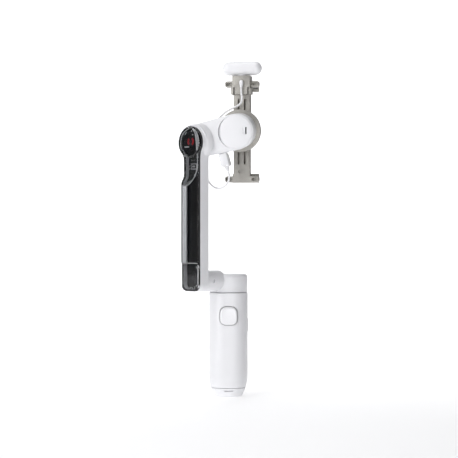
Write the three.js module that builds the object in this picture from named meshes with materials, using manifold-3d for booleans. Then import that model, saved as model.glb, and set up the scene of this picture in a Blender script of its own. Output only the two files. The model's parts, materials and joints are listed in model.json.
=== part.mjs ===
// A three-axis hand-held stabilizer for a phone, unfolded, with a tracking module on its clamp.
// Millimetres. +Z is up, +X is right and -Y is towards the subject, so the trigger is on the -Y side.
// The origin is the middle of the flat foot under the handle, on the pan axis.
import * as THREE from 'three';
import { mergeVertices } from 'three/addons/utils/BufferGeometryUtils.js';
import { ConvexGeometry } from 'three/addons/geometries/ConvexGeometry.js';
import Module from 'manifold-3d';

// ---------------------------------------------------------------- driving dimensions

const GAP = 0.3; // clearance between neighbouring pieces

// handle: an oval grip that draws in towards its foot
const GRIP_HALF_WIDTH = 16.5;
const GRIP_HALF_DEPTH = 18;
const GRIP_OVAL_POWER = 2.5;
const GRIP_WALL = 1.8;
const GRIP_TOP = 87.6;
const FOOT_TOP = 7.6;
const TAPER_START = 22;
const TAPER_DROP = 5;
const TRIGGER_Z = 68.5;
const PANEL_LOW = 36;
const PANEL_HIGH = 84;
const PANEL_HALF_WIDTH = 10.2;
const PANEL_BACK = 14.9;
const WHEEL_Z = 66;
const MODE_BUTTON_Z = 44.5;
const POWER_BUTTON_Z = 60;
const CHARGE_PORT_Z = 34;

// telescopic rod, from the guide tube inwards
const GUIDE_OUTER = 6.9;
const GUIDE_INNER = 6.3;
const ROD_OUTER_RADII = [6.0, 5.1, 4.2, 3.3];
const ROD_WALL = 0.6;
const ROD_LOW = 10;

// pan motor and fold hinge
const PAN_RADIUS = 16.3;
const PAN_LOW = GRIP_TOP + GAP;
const PAN_TOP = 103.3;
const PAN_CAVITY_TOP = 100;
const FOLD_Z = 97.8;
const LUG_RADIUS = 8.8;
const LUG_END = 33.2;

// arm: an upright bar, set off from the pan axis along ARM_FACING
const ARM_YAW = 46; // degrees from +X of the line from the arm through the pan axis
const ARM_INNER = 33.5;
const ARM_FLOOR = 35.3;
const ARM_RIM = 43.7;
const COVER_FACE = 45.8;
const ARM_HALF_WIDTH = 10.25;
const ARM_WAIST = 7.2;
const ARM_BOTTOM = 89.6;
const ARM_WALL = 1.8;
const EYE_Z = 212.7;
const EYE_RADIUS = 13.4;
const MOTOR_RADIUS = 15;
const END_CAP_TOP = 112.8;

// tilt axis, which rises a little towards the phone
const TILT_RISE = 9.5; // degrees
const TILT_Z = 214;
const TILT_OFFSET = 39;
const TILT_RADIUS = 14.2;
const BOSS_END = -6.6; // along the tilt axis, where the arm ends and the link begins

// roll axis and clamp, turned a little about the vertical
const CLAMP_YAW = 12; // degrees
const CLAMP_ORIGIN = new THREE.Vector3(11.3, -8, 223.3);
const DRUM_REAR_RADIUS = 14.7;
const DRUM_RADIUS = 15;
const DISC_RADIUS = 17.9;
const HUB_RADIUS = 15;
const STRIP_HALF_WIDTH = 7;
const STRIP_DEPTH = 5.2;
const HUB_BACK = -6.5;
const JAW_HALF_WIDTH = 14.5;
const PLATE_HALF_WIDTH = 11.4;
const JAW_THICKNESS = 5.2;
const JAW_LIP = -17.5;
const LOWER_JAW = -37.6;
const UPPER_JAW = 37.3;
const MIRROR_BACK = 23.7;
const LID_BACK = 25;
const LID_FACE = 27.6;
const LID_RADIUS = 14.2;
const LID_DROP = -1.9; // of the drum's front and the lid, below the roll axis

// tracker cable
const CABLE_RADIUS = 0.85;
const PLUG_AT = new THREE.Vector3(-12.2, -18.4, 18.5);
const PLUG_LEAN = 15.4; // degrees

// ---------------------------------------------------------------- solids

const wasm = await Module();
wasm.setup();

// A closed geometry as a manifold solid, with its faces turned outwards.
function solid(geometry) {
  const bare = geometry.clone();
  bare.deleteAttribute('normal');
  bare.deleteAttribute('uv');
  const merged = mergeVertices(bare, 1e-4);
  const position = merged.attributes.position;
  const triangles = [];
  let volume = 0;
  const corner = [new THREE.Vector3(), new THREE.Vector3(), new THREE.Vector3()];
  for (let i = 0; i < merged.index.count; i += 3) {
    const ids = [0, 1, 2].map((k) => merged.index.getX(i + k));
    if (ids[0] === ids[1] || ids[1] === ids[2] || ids[2] === ids[0]) continue;
    ids.forEach((id, k) => corner[k].fromBufferAttribute(position, id));
    volume += corner[0].dot(corner[1].clone().cross(corner[2]));
    triangles.push(ids);
  }
  if (volume < 0) triangles.forEach((ids) => ids.reverse());
  return new wasm.Manifold(new wasm.Mesh({
    numProp: 3,
    vertProperties: Float32Array.from(position.array),
    triVerts: Uint32Array.from(triangles.flat()),
  }));
}

function joined(first, ...others) {
  return others.reduce((sum, other) => sum.add(other), first);
}

function cut(body, ...tools) {
  return tools.reduce((rest, tool) => rest.subtract(tool), body);
}

function geometryOf(manifold) {
  const mesh = manifold.getMesh();
  const geometry = new THREE.BufferGeometry();
  geometry.setAttribute('position', new THREE.BufferAttribute(Float32Array.from(mesh.vertProperties), 3));
  geometry.setIndex(new THREE.BufferAttribute(Uint32Array.from(mesh.triVerts), 1));
  geometry.computeVertexNormals();
  return geometry;
}

// Rings of points, counter-clockwise from above and listed upwards, skinned and closed at both ends.
function loft(rings) {
  const count = rings[0].length;
  const faces = [];
  for (let level = 0; level < rings.length - 1; level += 1) {
    for (let i = 0; i < count; i += 1) {
      const a = level * count + i;
      const b = level * count + ((i + 1) % count);
      faces.push(a, b, b + count, a, b + count, a + count);
    }
  }
  const top = (rings.length - 1) * count;
  for (let i = 1; i < count - 1; i += 1) {
    faces.push(0, i + 1, i, top, top + i, top + i + 1);
  }
  const geometry = new THREE.BufferGeometry().setFromPoints(rings.flat());
  geometry.setIndex(faces);
  return solid(geometry);
}

function ovalRing(halfX, halfY, power, z, sides = 36) {
  return Array.from({ length: sides }, (_, i) => {
    const angle = (i / sides) * Math.PI * 2;
    const reach = (value, half) => Math.sign(value) * half * Math.abs(value) ** (2 / power);
    return new THREE.Vector3(reach(Math.cos(angle), halfX), reach(Math.sin(angle), halfY), z);
  });
}

// A solid of revolution about Z, from [radius, z] pairs.
function turned(profile, sides = 28) {
  const points = profile.map(([radius, z]) => new THREE.Vector2(radius, z));
  return solid(new THREE.LatheGeometry(points, sides).rotateX(Math.PI / 2));
}

function disc(radius, low, high, sides = 28) {
  return turned([[0, low], [radius, low], [radius, high], [0, high]], sides);
}

function ring(outer, inner, low, high, sides = 28) {
  const profile = [[inner, low], [outer, low], [outer, high], [inner, high], [inner, low]];
  return turned(profile, sides);
}

// A disc whose outer edge at the high end is rounded.
function softDisc(radius, low, high, edge, sides = 36) {
  const steps = 3;
  const arc = Array.from({ length: steps + 1 }, (_, i) => {
    const angle = (i / steps) * (Math.PI / 2);
    return [radius - edge + edge * Math.cos(angle), high - edge + edge * Math.sin(angle)];
  });
  return turned([[0, low], [radius, low], ...arc, [0, high]], sides);
}

// A flat outline in X and Y, pulled from low to high along Z.
function prism(shape, low, high, curveSegments = 2) {
  const options = { depth: high - low, bevelEnabled: false, curveSegments };
  return solid(new THREE.ExtrudeGeometry(shape, options).translate(0, 0, low));
}

function roundedRect(halfX, halfY, radius, centreX = 0, centreY = 0) {
  const [left, right] = [centreX - halfX, centreX + halfX];
  const [low, high] = [centreY - halfY, centreY + halfY];
  const shape = new THREE.Shape();
  shape.moveTo(left + radius, low);
  shape.lineTo(right - radius, low);
  shape.absarc(right - radius, low + radius, radius, -Math.PI / 2, 0);
  shape.absarc(right - radius, high - radius, radius, 0, Math.PI / 2);
  shape.absarc(left + radius, high - radius, radius, Math.PI / 2, Math.PI);
  shape.absarc(left + radius, low + radius, radius, Math.PI, Math.PI * 1.5);
  return shape;
}

function box(minimum, maximum) {
  const size = maximum.map((value, i) => value - minimum[i]);
  const middle = maximum.map((value, i) => (value + minimum[i]) / 2);
  return solid(new THREE.BoxGeometry(...size).translate(...middle));
}

// ---------------------------------------------------------------- frames and materials

const UP = new THREE.Vector3(0, 0, 1);
const gimbal = new THREE.Group();

// A group whose local Z points along facing, local Y up and local X across.
function uprightFrame(origin, facing) {
  const frame = new THREE.Group();
  const across = new THREE.Vector3().crossVectors(UP, facing);
  frame.position.copy(origin);
  frame.quaternion.setFromRotationMatrix(new THREE.Matrix4().makeBasis(across, UP, facing));
  gimbal.add(frame);
  return frame;
}

const ZERO = new THREE.Vector3();
const armYaw = THREE.MathUtils.degToRad(ARM_YAW);
const clampYaw = THREE.MathUtils.degToRad(CLAMP_YAW);
const armFacing = new THREE.Vector3(-Math.cos(armYaw), -Math.sin(armYaw), 0);
const clampFacing = new THREE.Vector3(-Math.sin(clampYaw), -Math.cos(clampYaw), 0);

const frontFrame = uprightFrame(ZERO, new THREE.Vector3(0, -1, 0));
const rearFrame = uprightFrame(ZERO, new THREE.Vector3(0, 1, 0));
const sideFrame = uprightFrame(ZERO, new THREE.Vector3(1, 0, 0));
const armFrame = uprightFrame(ZERO, armFacing);
const clampFrame = uprightFrame(CLAMP_ORIGIN, clampFacing);
const tiltFrame = new THREE.Group();
tiltFrame.position.set(0, TILT_Z, TILT_OFFSET);
tiltFrame.rotation.x = THREE.MathUtils.degToRad(TILT_RISE);
armFrame.add(tiltFrame);
const plugFrame = new THREE.Group();
plugFrame.position.copy(PLUG_AT);
plugFrame.rotation.z = THREE.MathUtils.degToRad(PLUG_LEAN);
clampFrame.add(plugFrame);
gimbal.updateMatrixWorld(true);

// A solid given in one frame's coordinates, in another's.
function carried(manifold, from, to) {
  const matrix = to.matrixWorld.clone().invert().multiply(from.matrixWorld);
  return solid(geometryOf(manifold).applyMatrix4(matrix));
}

function finish(color, roughness, metalness = 0) {
  return { color, roughness, metalness };
}

const WHITE = finish(0xf2f2f5, 0.45);
const GLOSS_WHITE = finish(0xf7f7fa, 0.25);
const BLACK = finish(0x121214, 0.4);
const RUBBER = finish(0x2b2b2d, 0.85);
const TAUPE = finish(0x98948c, 0.5, 0.3);
const STEEL = finish(0xb8babd, 0.3, 1);
const COPPER = finish(0xb06a3a, 0.4, 1);
const MAGNET = finish(0x6a6c70, 0.35, 1);
const BOARD = finish(0x10331f, 0.6);
const CLEAR = finish(0x8f9296, 0.12);
const RED = finish(0x9c1b22, 0.4);
const FOIL = finish(0x7d8fa8, 0.5);

function add(frame, name, shape, look) {
  const mesh = new THREE.Mesh(geometryOf(shape), new THREE.MeshStandardMaterial(look));
  mesh.name = name;
  frame.add(mesh);
}

// ---------------------------------------------------------------- handle

function taper(z) {
  return TAPER_DROP * (Math.max(0, TAPER_START - z) / TAPER_START) ** 2.4;
}

function gripRing(z, inset = 0) {
  const drawn = taper(z) + inset;
  return ovalRing(GRIP_HALF_WIDTH - drawn, GRIP_HALF_DEPTH - drawn, GRIP_OVAL_POWER, z);
}

function gripOutside() {
  const levels = [FOOT_TOP + GAP, 12, 17, TAPER_START, GRIP_TOP - 0.8];
  return loft([...levels.map((z) => gripRing(z)), gripRing(GRIP_TOP, 0.8)]);
}

function panelWindow(grow) {
  const middle = (PANEL_LOW + PANEL_HIGH) / 2;
  const half = (PANEL_HIGH - PANEL_LOW) / 2 + grow;
  const shape = roundedRect(PANEL_HALF_WIDTH + grow, half, 6 + grow, 0, middle);
  return carried(prism(shape, PANEL_BACK - grow, 20), rearFrame, gimbal);
}

function triggerOutline(grow) {
  return roundedRect(7.3 + grow, 7.7 + grow, 5 + grow, 0.3, TRIGGER_Z);
}

function handleShell() {
  const inside = [0, 12, 17, TAPER_START, GRIP_TOP - 2];
  const cavity = loft(inside.map((z) => gripRing(Math.max(z, FOOT_TOP - 1), GRIP_WALL)));
  const triggerHole = carried(prism(triggerOutline(0.5), 12, 20), frontFrame, gimbal);
  const powerHole = prism(roundedRect(2.2, 6, 2.1, 3, POWER_BUTTON_Z), 12, 20);
  const chargeHole = prism(roundedRect(2.0, 4.9, 1.9, 2, CHARGE_PORT_Z), 12, 20);
  return cut(
    gripOutside(),
    cavity,
    disc(ROD_OUTER_RADII[0] + 0.5, GRIP_TOP - 4, GRIP_TOP + 2, 24),
    triggerHole,
    panelWindow(GAP),
    carried(powerHole, sideFrame, gimbal),
    carried(chargeHole, sideFrame, gimbal),
  );
}
add(gimbal, 'handle_shell', handleShell(), WHITE);

function controlPanel() {
  const wheelPocket = disc(9.9, 16, 22, 32).translate([0, WHEEL_Z, 0]);
  const modePocket = disc(3.4, 15.7, 22, 24).translate([0, MODE_BUTTON_Z, 0]);
  return cut(
    gripOutside().intersect(panelWindow(0)),
    carried(wheelPocket, rearFrame, gimbal),
    carried(modePocket, rearFrame, gimbal),
  );
}
add(gimbal, 'control_panel', controlPanel(), GLOSS_WHITE);

add(rearFrame, 'wheel_ring', ring(9.5, 5.7, 16.3, 18.5).translate([0, WHEEL_Z, 0]), WHITE);
add(rearFrame, 'wheel_button', softDisc(5.3, 16.9, 18.9, 0.5, 24).translate([0, WHEEL_Z, 0]), RED);
add(rearFrame, 'mode_button', softDisc(3.0, 16.4, 18.3, 0.5, 24).translate([0, MODE_BUTTON_Z, 0]), WHITE);
add(sideFrame, 'power_button', prism(roundedRect(1.8, 5.6, 1.7, 3, POWER_BUTTON_Z), 13.2, 17), WHITE);

function chargePort() {
  const body = prism(roundedRect(1.7, 4.5, 1.6, 2, CHARGE_PORT_Z), 10.4, 15.9);
  return cut(body, prism(roundedRect(1.3, 4.1, 1.2, 2, CHARGE_PORT_Z), 11.4, 17));
}
add(sideFrame, 'charge_port', chargePort(), STEEL);

function trigger() {
  const rim = 19.9;
  const pad = prism(triggerOutline(0), 13.6, rim - 0.8);
  const crown = prism(triggerOutline(-0.9), rim - 0.8, rim);
  const flange = prism(roundedRect(8.2, 8.8, 5.6, 0.3, TRIGGER_Z), 12.8, 13.6);
  return joined(pad, crown, flange);
}
add(frontFrame, 'trigger', trigger(), GLOSS_WHITE);

add(gimbal, 'guide_tube', ring(GUIDE_OUTER, GUIDE_INNER, 8.6, GRIP_TOP - 2.4, 20), STEEL);
add(gimbal, 'battery', box([-7.6, 10, 15], [7.6, 14.1, 53]), FOIL);
add(gimbal, 'main_board', box([-11, -9.8, 56], [11, -8.6, 84]), BOARD);
add(gimbal, 'trigger_switch', box([-2.7, -11.4, 66], [3.3, -10.1, 71]), BLACK);

// ---------------------------------------------------------------- tripod, stowed in the handle

function tripodBase() {
  const levels = [[0, 1.0], [0.6, 0.25], [1.4, 0], [3, 0], [5.4, 0], [FOOT_TOP, 0]];
  const body = loft(levels.map(([z, inset]) => gripRing(z, inset)));
  const notch = prism(roundedRect(3.8, 0.5, 0.45, 0.4, 5.4), 13, 20);
  return cut(body, carried(notch, frontFrame, gimbal));
}
add(gimbal, 'tripod_base', tripodBase(), WHITE);

const LEG_INNER = 7.2;
const LEG_OUTER = 9.6;
const LEG_HALF_ARC = 0.6; // radians
function tripodLeg(turn) {
  const shape = new THREE.Shape();
  shape.absarc(0, 0, LEG_OUTER, turn - LEG_HALF_ARC, turn + LEG_HALF_ARC, false);
  shape.absarc(0, 0, LEG_INNER, turn + LEG_HALF_ARC, turn - LEG_HALF_ARC, true);
  return prism(shape, FOOT_TOP + GAP, 50, 3);
}
for (let leg = 0; leg < 3; leg += 1) {
  add(gimbal, `tripod_leg_${leg + 1}`, tripodLeg(Math.PI / 2 + (leg * Math.PI * 2) / 3), STEEL);
}

// ---------------------------------------------------------------- telescopic rod

ROD_OUTER_RADII.forEach((radius, stage) => {
  const tube = ring(radius, radius - ROD_WALL, ROD_LOW, GRIP_TOP - 0.1, 20);
  add(gimbal, `rod_stage_${stage + 1}`, tube, STEEL);
});

// ---------------------------------------------------------------- pan motor

const PAN_SHAFT = 2.7;
function panBase() {
  const low = PAN_LOW + GAP;
  const rim = low + 2.8;
  return turned([[0, low], [13.9, low], [13.9, rim], [PAN_SHAFT, rim], [PAN_SHAFT, 99.5], [0, 99.5]]);
}
add(gimbal, 'pan_base', panBase(), BLACK);
add(gimbal, 'pan_stator', ring(7.2, PAN_SHAFT + GAP, 91.4, 98), COPPER);
add(gimbal, 'pan_magnet_ring', ring(12.6, 10.4, 91.6, 99.6), MAGNET);
add(gimbal, 'pan_bearing', ring(5, PAN_SHAFT + GAP, 98.3, 99.6, 24), STEEL);

function panHousing() {
  const cup = softDisc(PAN_RADIUS, PAN_LOW, PAN_TOP, 3, 40);
  const lug = disc(LUG_RADIUS, 12.5, LUG_END, 32).translate([0, FOLD_Z, 0]);
  const pinHole = disc(3.3, 20, LUG_END + 1, 24).translate([0, FOLD_Z, 0]);
  const screwHole = geometryOf(disc(1.75, 7.2, 10, 16)).rotateY(Math.PI / 2);
  const sideways = solid(screwHole.translate(0, FOLD_Z + 0.4, 26.2));
  return cut(
    cup.add(carried(lug, armFrame, gimbal)),
    disc(14.5, PAN_LOW - 1, PAN_CAVITY_TOP, 32),
    carried(pinHole, armFrame, gimbal),
    carried(sideways, armFrame, gimbal),
  );
}
add(gimbal, 'pan_housing', panHousing(), WHITE);

const pinProfile = [[0, 20.4], [3, 20.4], [3, 35.7], [5.2, 35.7], [5.2, 37.8], [0, 37.8]];
add(armFrame, 'fold_pin', turned(pinProfile, 24).translate([0, FOLD_Z, 0]), STEEL);

// ---------------------------------------------------------------- arm

// The arm seen from outside: a bar with round bottom corners, a waist on one side and a round head.
function armOutline(inset = 0, low = ARM_BOTTOM, corner = 6) {
  const half = ARM_HALF_WIDTH - inset;
  const waist = ARM_WAIST - inset;
  const radius = EYE_RADIUS - inset;
  const bottom = low + inset;
  const shoulder = THREE.MathUtils.degToRad(25);
  const [shoulderX, shoulderY] = [radius * Math.cos(shoulder), EYE_Z - radius * Math.sin(shoulder)];
  const shape = new THREE.Shape();
  shape.moveTo(-half, bottom + corner);
  shape.lineTo(-half, 178);
  shape.bezierCurveTo(-half, 182, -waist, 182, -waist, 186);
  shape.lineTo(-waist, 199);
  shape.quadraticCurveTo(-waist, 202, -shoulderX, shoulderY);
  shape.absarc(0, EYE_Z, radius, Math.PI + shoulder, -shoulder, true);
  shape.quadraticCurveTo(half, 202, half, 197);
  shape.lineTo(half, bottom + corner);
  shape.absarc(half - corner, bottom + corner, corner, 0, -Math.PI / 2, true);
  shape.absarc(-half + corner, bottom + corner, corner, -Math.PI / 2, -Math.PI, true);
  return shape;
}

function armCasing() {
  const bar = prism(armOutline(), ARM_INNER, ARM_RIM, 7);
  const motor = turned([
    [0, ARM_INNER], [MOTOR_RADIUS, ARM_INNER], [MOTOR_RADIUS, 38.5],
    [EYE_RADIUS, 41.5], [0, 41.5],
  ]).translate([0, EYE_Z, 0]);
  const boss = carried(disc(TILT_RADIUS, BOSS_END, 1, 36), tiltFrame, armFrame);
  const cavity = prism(armOutline(ARM_WALL), ARM_FLOOR, ARM_RIM + 1, 7);
  const beyondBoss = carried(disc(22, -16, BOSS_END), tiltFrame, armFrame);
  const shaftHole = carried(disc(3.2, -9, 3, 24), tiltFrame, armFrame);
  const pinHole = disc(3.3, ARM_INNER - 1, ARM_FLOOR + 1, 24).translate([0, FOLD_Z, 0]);
  return cut(joined(bar, motor, boss), cavity, shaftHole, pinHole, beyondBoss);
}
add(armFrame, 'arm_casing', armCasing(), WHITE);

function armLiner() {
  return prism(armOutline(ARM_WALL + GAP), 39.3, 42.2, 5);
}
add(armFrame, 'arm_liner', armLiner(), BLACK);

function armCover() {
  const plate = prism(armOutline(), ARM_RIM + GAP, COVER_FACE, 7);
  const split = box([-30, 60, ARM_RIM - 5], [30, END_CAP_TOP + GAP, COVER_FACE + 5]);
  const dome = softDisc(EYE_RADIUS - 0.6, ARM_RIM + GAP, COVER_FACE + 1.5, 1.4, 40).translate([0, EYE_Z, 0]);
  return cut(joined(plate, dome), split);
}
add(armFrame, 'arm_cover', armCover(), CLEAR);

function armEndCap() {
  const plate = prism(armOutline(-0.35, ARM_BOTTOM + 0.35), ARM_RIM + GAP, COVER_FACE + 0.3, 4);
  const above = box([-30, END_CAP_TOP, ARM_RIM - 5], [30, 240, COVER_FACE + 5]);
  const screwHoles = [94.5, 109.5].map((z) => disc(1.3, ARM_RIM, COVER_FACE + 3, 16).translate([7.4, z, 0]));
  return cut(plate, above, ...screwHoles);
}
add(armFrame, 'arm_end_cap', armEndCap(), CLEAR);
[94.5, 109.5].forEach((z, i) => {
  const screw = disc(0.9, ARM_RIM + GAP, COVER_FACE - 0.4, 12).translate([7.4, z, 0]);
  add(armFrame, `arm_screw_${i + 1}`, screw, STEEL);
});

function armBoard() {
  const base = box([-5, 170, 42.5], [5.6, 198.5, 43.2]);
  const chips = [
    box([-1.5, 190, 43], [5, 196.5, 43.7]),
    box([-4, 181, 43], [0, 185, 43.6]),
    box([1.6, 174, 43], [4.4, 180, 43.6]),
  ];
  return joined(base, ...chips);
}
add(armFrame, 'arm_board', armBoard(), BOARD);
add(armFrame, 'tilt_coil', ring(3.6, 2.1, 42.5, 43.6).translate([0, EYE_Z, 0]), RED);
add(armFrame, 'tilt_stator', ring(9.5, 4.2, 35.7, 38.9).translate([0, TILT_Z + 0.4, 0]), COPPER);

// ---------------------------------------------------------------- link between the tilt and roll axes

function circlePoints(frame, radius, z, sides = 32, rise = 0) {
  return Array.from({ length: sides }, (_, i) => {
    const angle = (i / sides) * Math.PI * 2;
    const point = new THREE.Vector3(radius * Math.cos(angle), rise + radius * Math.sin(angle), z);
    return clampFrame.worldToLocal(frame.localToWorld(point));
  });
}

const LINK_START = BOSS_END - GAP;
const LINK_REAR = 10.3;
const LINK_FRONT = 26;
function linkHousing() {
  const hull = solid(new ConvexGeometry([
    ...circlePoints(tiltFrame, TILT_RADIUS - 0.1, LINK_START),
    ...circlePoints(tiltFrame, TILT_RADIUS, LINK_START - 2.1),
    ...circlePoints(clampFrame, DRUM_REAR_RADIUS, LINK_REAR, 40),
    ...circlePoints(clampFrame, DRUM_RADIUS, LINK_FRONT - 0.6, 40, LID_DROP),
    ...circlePoints(clampFrame, DRUM_RADIUS - 0.4, LINK_FRONT, 40, LID_DROP),
  ]));
  const port = carried(box([-4.2, -0.8, -6], [4.2, 4, 6]), plugFrame, clampFrame);
  return cut(
    joined(hull, port),
    disc(LID_RADIUS + GAP, LID_BACK - GAP, 40, 40).translate([0, LID_DROP, 0]),
    disc(13, MIRROR_BACK - GAP, 40, 32).translate([0, LID_DROP, 0]),
    disc(12.6, LINK_REAR - 1, 19, 32),
    carried(disc(12, -12.5, LINK_START + 1), tiltFrame, clampFrame),
    carried(disc(3.1, -17, LINK_START + 1, 24), tiltFrame, clampFrame),
  );
}
add(clampFrame, 'link_housing', linkHousing(), WHITE);
add(tiltFrame, 'tilt_rotor', ring(11.6, 5, -12.2, -7.3), MAGNET);
add(tiltFrame, 'tilt_shaft', disc(2.8, -16.6, -0.8, 24), STEEL);
add(clampFrame, 'roll_stator', ring(8.4, 3.2, 10.8, 18.6), COPPER);
add(clampFrame, 'mirror', disc(12.7, MIRROR_BACK, MIRROR_BACK + 0.9, 40).translate([0, LID_DROP, 0]), STEEL);

function mirrorLid() {
  const notch = prism(roundedRect(1.3, 3.2, 1.2, 8.2, 0.9), LID_FACE - 1.2, LID_FACE + 1);
  const plate = softDisc(LID_RADIUS, LID_BACK, LID_FACE, 1.4, 40);
  return cut(plate, notch).translate([0, LID_DROP, 0]);
}
add(clampFrame, 'mirror_lid', mirrorLid(), WHITE);

// ---------------------------------------------------------------- roll disc and clamp

const rollProfile = [[0, 6.3], [DISC_RADIUS, 6.3], [DISC_RADIUS, 10], [2.7, 10], [2.7, 18.4], [0, 18.4]];
add(clampFrame, 'roll_disc', turned(rollProfile, 40), TAUPE);
add(clampFrame, 'roll_rotor', ring(12.2, 9.2, 10.6, 17.6), MAGNET);

function slots(low, high) {
  return [-2.65, 2.65].map((x) => prism(
    roundedRect(0.85, (high - low) / 2, 0.8, x, (high + low) / 2),
    -1.6,
    2,
  ));
}

function clampFrameBody() {
  const hub = disc(HUB_RADIUS, HUB_BACK, 6, 40);
  const strip = box([-STRIP_HALF_WIDTH, 10, HUB_BACK], [STRIP_HALF_WIDTH, UPPER_JAW - GAP, 0]);
  const channel = box([-STRIP_HALF_WIDTH - GAP, -20, -STRIP_DEPTH - GAP], [STRIP_HALF_WIDTH + GAP, 12, GAP]);
  return cut(joined(hub, strip), channel, ...slots(15.5, 27.4));
}
add(clampFrame, 'clamp_frame', clampFrameBody(), TAUPE);

// A jaw: a bar across the strip, a plate over the edge of the phone and a lip in front of its screen.
function jaw(inner, away) {
  const outer = inner + away * JAW_THICKNESS;
  const plateInner = inner + away * 1.35;
  const across = (half, a, b, low, high) => box(
    [-half, Math.min(a, b), low],
    [half, Math.max(a, b), high],
  );
  return joined(
    across(JAW_HALF_WIDTH, inner, outer, -STRIP_DEPTH, 0),
    across(PLATE_HALF_WIDTH, plateInner, outer, JAW_LIP, -STRIP_DEPTH),
    across(PLATE_HALF_WIDTH, inner - away * 2.6, outer, JAW_LIP - 2, JAW_LIP),
  );
}

function jawPad(inner, away) {
  const outer = inner + away * 1.05;
  return box(
    [-PLATE_HALF_WIDTH + 0.8, Math.min(inner, outer), JAW_LIP + GAP],
    [PLATE_HALF_WIDTH - 0.8, Math.max(inner, outer), HUB_BACK - GAP],
  );
}
add(clampFrame, 'upper_jaw', jaw(UPPER_JAW, 1), TAUPE);
add(clampFrame, 'upper_pad', jawPad(UPPER_JAW, 1), RUBBER);

function lowerJaw() {
  const slider = box([-STRIP_HALF_WIDTH, LOWER_JAW - 1, -STRIP_DEPTH], [STRIP_HALF_WIDTH, -6, 0]);
  const recess = prism(roundedRect(3, 1.4, 1.3, 0, -33.6), -1.2, 2);
  return cut(joined(jaw(LOWER_JAW, -1), slider), recess, ...slots(-27.8, -9.5));
}
add(clampFrame, 'lower_jaw', lowerJaw(), TAUPE);
add(clampFrame, 'lower_pad', jawPad(LOWER_JAW, -1), RUBBER);
const clampSpring = solid(geometryOf(disc(1.7, -11.4, 5.7, 12)).rotateX(Math.PI / 2).translate(0, 0, -2.6));
add(clampFrame, 'clamp_spring', clampSpring, STEEL);

// ---------------------------------------------------------------- tracking module

const BRACKET_HALF_WIDTH = 7.6;
const BRACKET_TOP = 46.8;
function trackerBracket() {
  const front = box([-BRACKET_HALF_WIDTH, 31, GAP], [BRACKET_HALF_WIDTH, BRACKET_TOP, 3]);
  const bridge = box(
    [-BRACKET_HALF_WIDTH, UPPER_JAW + JAW_THICKNESS + GAP, -8],
    [BRACKET_HALF_WIDTH, BRACKET_TOP, 3],
  );
  const corners = [-1, 1].map((side) => box(
    [Math.min(side * 5.4, side * 6.6), 30, 1.6],
    [Math.max(side * 5.4, side * 6.6), 37.2, 4],
  ));
  const flanges = [-1, 1].map((side) => box(
    [Math.min(side * 7.3, side * 8.7), 31, -4.5],
    [Math.max(side * 7.3, side * 8.7), 36.5, 2.4],
  ));
  return joined(cut(joined(front, bridge), ...corners), ...flanges);
}
add(clampFrame, 'tracker_bracket', trackerBracket(), TAUPE);

const PILL_RADIUS = 5.4;
const PILL_Y = 53.6;
const PILL_LENGTH = 23; // of its straight middle
const PILL_DEPTH = -2.5;
function trackerBody() {
  const capsule = new THREE.CapsuleGeometry(PILL_RADIUS, PILL_LENGTH, 4, 24).rotateZ(Math.PI / 2);
  const recess = prism(roundedRect(10, 2.8, 2.6, 0, PILL_Y), -10, PILL_DEPTH - 4.1);
  return cut(solid(capsule.translate(0, PILL_Y, PILL_DEPTH)), recess);
}
add(clampFrame, 'tracker_body', trackerBody(), GLOSS_WHITE);
const trackerWindow = prism(roundedRect(9.7, 2.5, 2.3, 0, PILL_Y), PILL_DEPTH - 5.0, PILL_DEPTH - 4.4);
add(clampFrame, 'tracker_window', trackerWindow, BLACK);

function trackerPedestal() {
  const oval = solid(new THREE.CylinderGeometry(1, 1, 1.6, 20).scale(4.3, 1, 3));
  const seat = solid(new THREE.CapsuleGeometry(PILL_RADIUS + GAP, PILL_LENGTH, 4, 24)
    .rotateZ(Math.PI / 2).translate(0, PILL_Y, PILL_DEPTH));
  return cut(oval.translate([0, 47.9, PILL_DEPTH]), seat);
}
add(clampFrame, 'tracker_pedestal', trackerPedestal(), WHITE);

// ---------------------------------------------------------------- tracker cable

const GLAND_X = 0.6;
const GLAND_DEPTH = 5.1;
function trackerGland() {
  const profile = [[0, -42.8], [1.1, -42.5], [1.75, -41.4], [1.75, -40.2], [1.0, -36.4], [0, -36.4]];
  const upright = geometryOf(turned(profile, 16)).rotateX(Math.PI / 2);
  return solid(upright.translate(GLAND_X, 0, GLAND_DEPTH));
}
add(clampFrame, 'tracker_gland', trackerGland(), GLOSS_WHITE);

add(plugFrame, 'usb_plug', prism(roundedRect(3.6, 5.5, 1.2, 0, -6.6), -5.2, 5.2), GLOSS_WHITE);
function plugRelief() {
  const profile = [[0, 12.4], [1.8, 12.4], [1.8, 13.6], [1.2, 16.2], [0, 16.2]];
  return solid(geometryOf(turned(profile, 16)).rotateX(Math.PI / 2));
}
add(plugFrame, 'plug_relief', plugRelief(), GLOSS_WHITE);

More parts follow.
